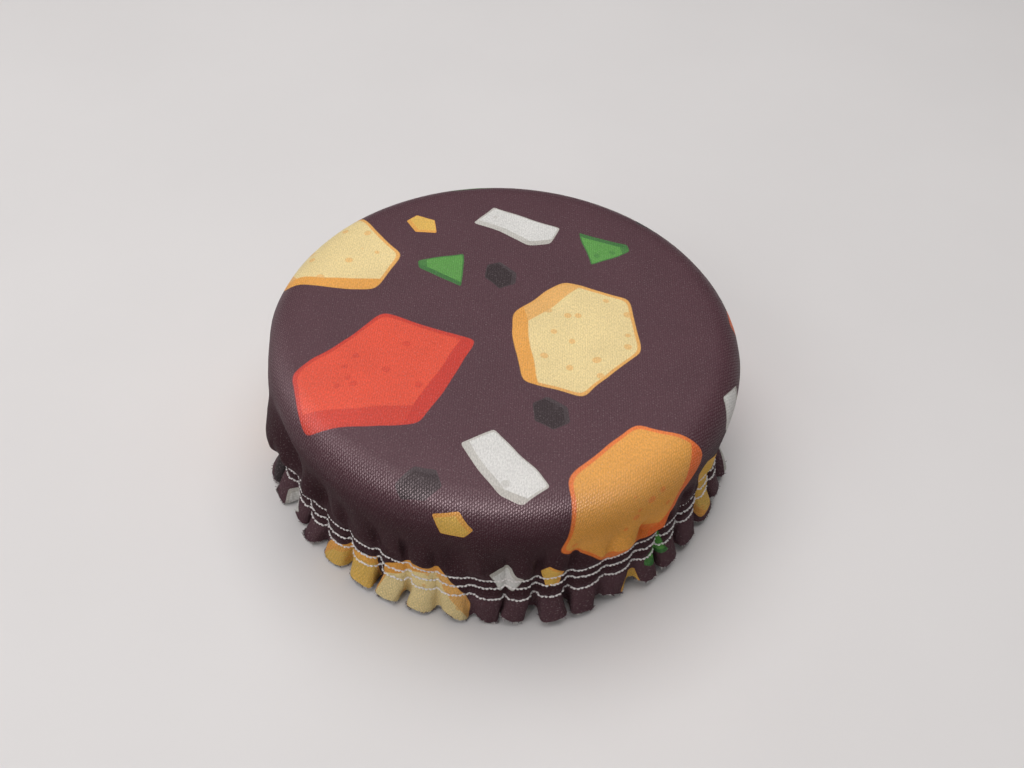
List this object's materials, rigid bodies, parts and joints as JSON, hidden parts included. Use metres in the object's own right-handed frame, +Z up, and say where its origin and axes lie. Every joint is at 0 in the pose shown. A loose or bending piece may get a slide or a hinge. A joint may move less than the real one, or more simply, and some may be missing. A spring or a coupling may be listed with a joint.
{
  "type": "bowl cover",
  "caption": "Round elasticated cloth bowl cover with a flat drawn top, a gathered skirt, parallel rows of stitches and a raw-edged ruffle.",
  "frame": {"origin": "middle of the cover's footprint, on the surface that its ruffle stands on", "axes": "+Z up through the flat top, -Y towards the side that the picture shows nearest"},
  "size_m": [0.1509, 0.1506, 0.0575],
  "materials": {
    "cloth": "satin knitted face on a laminated back, printed",
    "elastic": "woven elastic, matt",
    "thread": "white sewing thread"
  },
  "bodies": {
    "root": {"cover": "cloth", "elastic_band": "elastic", "stitch_row_1": "thread", "stitch_row_2": "thread", "stitch_row_3": "thread"}
  },
  "joints": []
}
